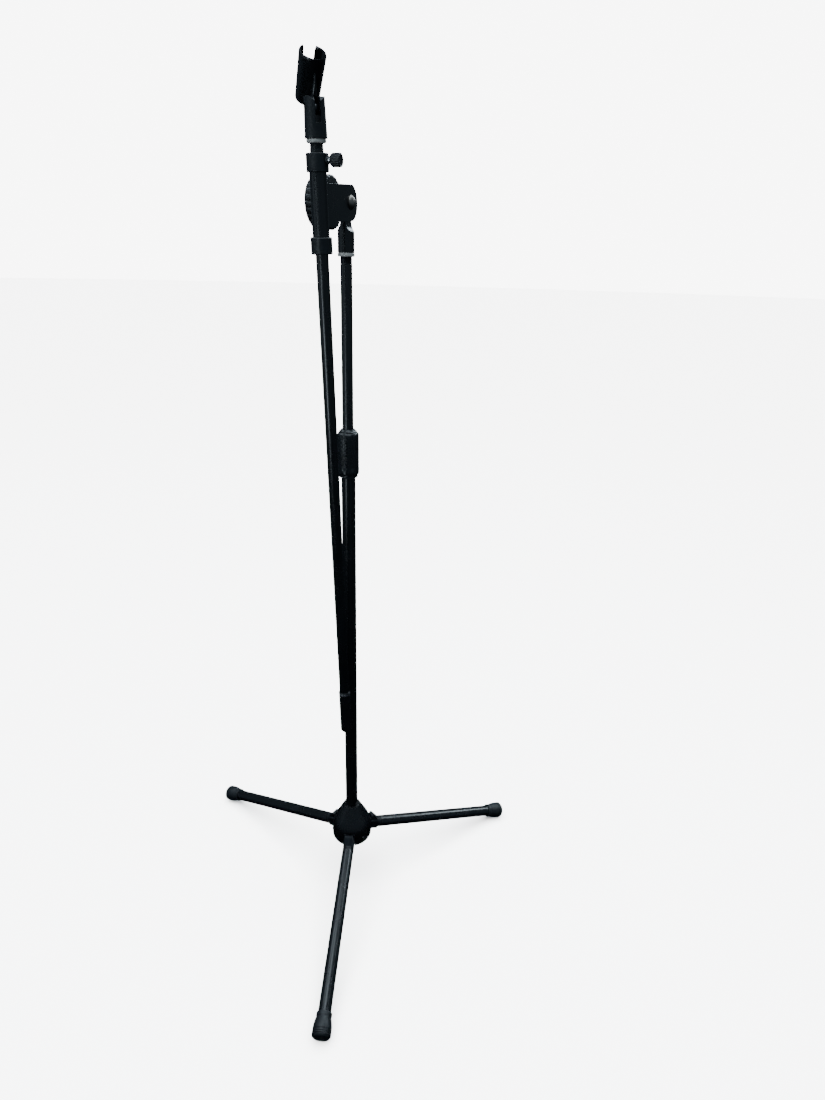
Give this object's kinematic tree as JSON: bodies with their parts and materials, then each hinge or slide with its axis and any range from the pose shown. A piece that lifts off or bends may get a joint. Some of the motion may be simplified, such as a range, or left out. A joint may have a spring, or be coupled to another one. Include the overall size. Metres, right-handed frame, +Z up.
{
  "type": "boom microphone stand",
  "caption": "Folding tripod microphone stand with a telescopic mast, a tilting and sliding counterweighted boom, and a clip-on microphone holder at the boom's tip.",
  "frame": {"origin": "on the floor, straight below the mast axis", "axes": "+Z up along the mast, one leg along -Y, the boom's sleeve on the -Y side of the mast"},
  "size_m": [0.5868, 0.5115, 1.2937],
  "materials": {
    "powder_coat": "satin black powder coat",
    "hub_enamel": "gloss black enamel on a casting",
    "black_plastic": "moulded nylon, fine grain",
    "clip_plastic": "smooth moulded plastic",
    "knob_plastic": "ribbed moulded plastic",
    "grip_plastic": "moulded grip, satin",
    "foot_rubber": "matt moulded rubber",
    "grey_plastic": "plain grey nylon",
    "bright_steel": "zinc plated",
    "bronze_steel": "dark bronze plated bolt",
    "black_steel": "blackened screw, nut and threaded stud",
    "brass": "turned"
  },
  "bodies": {
    "hub": {"hub": "hub_enamel", "leg_pins": "bright_steel", "mast_screw": "bright_steel", "mast_end_plug": "bright_steel", "lower_mast_tube": "powder_coat", "clutch_body": "black_plastic", "clutch_collet": "grey_plastic"},
    "leg_1": {"leg_1_root": "black_plastic", "leg_1_tube": "powder_coat", "leg_1_foot": "foot_rubber"},
    "leg_2": {"leg_2_root": "black_plastic", "leg_2_tube": "powder_coat", "leg_2_foot": "foot_rubber"},
    "leg_3": {"leg_3_root": "black_plastic", "leg_3_tube": "powder_coat", "leg_3_foot": "foot_rubber"},
    "clutch_grip": {"clutch_grip": "grip_plastic", "clutch_top_ring": "grip_plastic"},
    "upper_mast": {"upper_mast_tube": "powder_coat", "mast_guide_bush": "black_plastic", "mast_stud": "black_steel"},
    "mast_lock_ring": {"mast_lock_ring": "grey_plastic"},
    "swivel_head": {"swivel_post": "hub_enamel"},
    "boom_arm": {"boom_bracket": "powder_coat", "friction_discs": "grey_plastic", "pivot_bolt": "bronze_steel", "sleeve_tube": "powder_coat", "sleeve_upper_collar": "black_plastic", "sleeve_lower_collar": "black_plastic", "sleeve_upper_bush": "grey_plastic", "sleeve_lower_bush": "grey_plastic"},
    "tilt_washer": {"tilt_washer": "bright_steel"},
    "tilt_knob": {"tilt_knob": "knob_plastic", "tilt_knob_insert": "brass"},
    "clamp_pad": {"clamp_pad": "foot_rubber"},
    "clamp_screw": {"clamp_screw": "bright_steel", "clamp_knob": "knob_plastic"},
    "boom": {"boom_tube": "powder_coat", "boom_tip_stud": "powder_coat", "counterweight": "powder_coat", "counterweight_ring": "bright_steel"},
    "clip_lock_ring": {"clip_lock_ring": "grey_plastic"},
    "clip_base": {"clip_base": "black_plastic", "clip_insert": "brass", "clip_hinge_bolt": "black_steel", "clip_hinge_nut": "black_steel"},
    "mic_clip": {"mic_clip": "clip_plastic"}
  },
  "joints": [
    {"name": "leg_1_fold", "type": "hinge", "parent": "hub", "child": "leg_1", "pos_m": [0, -0.024, 0.1], "axis": [1, 0, 0], "range_deg": [0, 74]},
    {"name": "leg_2_fold", "type": "hinge", "parent": "hub", "child": "leg_2", "pos_m": [0.02079, 0.012, 0.1], "axis": [-0.5, 0.866, 0], "range_deg": [0, 74]},
    {"name": "leg_3_fold", "type": "hinge", "parent": "hub", "child": "leg_3", "pos_m": [-0.02079, 0.012, 0.1], "axis": [-0.5, -0.866, 0], "range_deg": [0, 74]},
    {"name": "clutch_turn", "type": "hinge", "parent": "hub", "child": "clutch_grip", "pos_m": [0, 0, 0.8035], "axis": [0, 0, 1], "range_deg": [0, 180]},
    {"name": "mast_height", "type": "slide", "parent": "hub", "child": "upper_mast", "axis": [0, 0, 1], "range_m": [-0.14, 0.35]},
    {"name": "mast_lock_ring_turn", "type": "hinge", "parent": "upper_mast", "child": "mast_lock_ring", "pos_m": [0, 0, 1.0795], "axis": [0, 0, 1], "range_deg": [-180, 180]},
    {"name": "head_pan", "type": "hinge", "parent": "upper_mast", "child": "swivel_head", "pos_m": [0, 0, 1.102], "axis": [0, 0, 1], "range_deg": [-180, 180]},
    {"name": "boom_tilt", "type": "hinge", "parent": "swivel_head", "child": "boom_arm", "pos_m": [0, 0, 1.142], "axis": [-0.9703, 0.2419, 0], "range_deg": [0, 170]},
    {"name": "tilt_knob_travel", "type": "slide", "parent": "boom_arm", "child": "tilt_washer", "axis": [-0.9703, 0.2419, 0], "range_m": [0, 0.00187]},
    {"name": "tilt_knob_turn", "type": "hinge", "parent": "tilt_washer", "child": "tilt_knob", "pos_m": [-0.02911, 0.00726, 1.142], "axis": [-0.9703, 0.2419, 0], "range_deg": [0, 540]},
    {"name": "clamp_travel", "type": "slide", "parent": "boom_arm", "child": "clamp_pad", "axis": [0.9703, -0.2419, 0], "range_m": [0, 0.00299]},
    {"name": "clamp_screw_turn", "type": "hinge", "parent": "clamp_pad", "child": "clamp_screw", "pos_m": [-0.00119, -0.08744, 1.18005], "axis": [0.9703, -0.2419, 0], "range_deg": [0, 1080]},
    {"name": "boom_extend", "type": "slide", "parent": "boom_arm", "child": "boom", "axis": [-0.0184, -0.0736, 0.9971], "range_m": [-0.002, 0.66]},
    {"name": "clip_lock_ring_turn", "type": "hinge", "parent": "boom", "child": "clip_lock_ring", "pos_m": [-0.02096, -0.08404, 1.1996], "axis": [-0.0184, -0.0736, 0.9971], "range_deg": [-180, 180]},
    {"name": "clip_turn", "type": "hinge", "parent": "boom", "child": "clip_base", "pos_m": [-0.02114, -0.08478, 1.20957], "axis": [-0.0184, -0.0736, 0.9971], "range_deg": [-180, 180]},
    {"name": "clip_tilt", "type": "hinge", "parent": "clip_base", "child": "mic_clip", "pos_m": [-0.02154, -0.0864, 1.2315], "axis": [0.8741, 0.4829, 0.0517], "range_deg": [-38, 60]}
  ],
  "couplings": [
    {"joint": "tilt_knob_turn", "follows": "tilt_knob_travel", "rad_per_m": 5026.5},
    {"joint": "clamp_screw_turn", "follows": "clamp_travel", "rad_per_m": 6283.2}
  ]
}
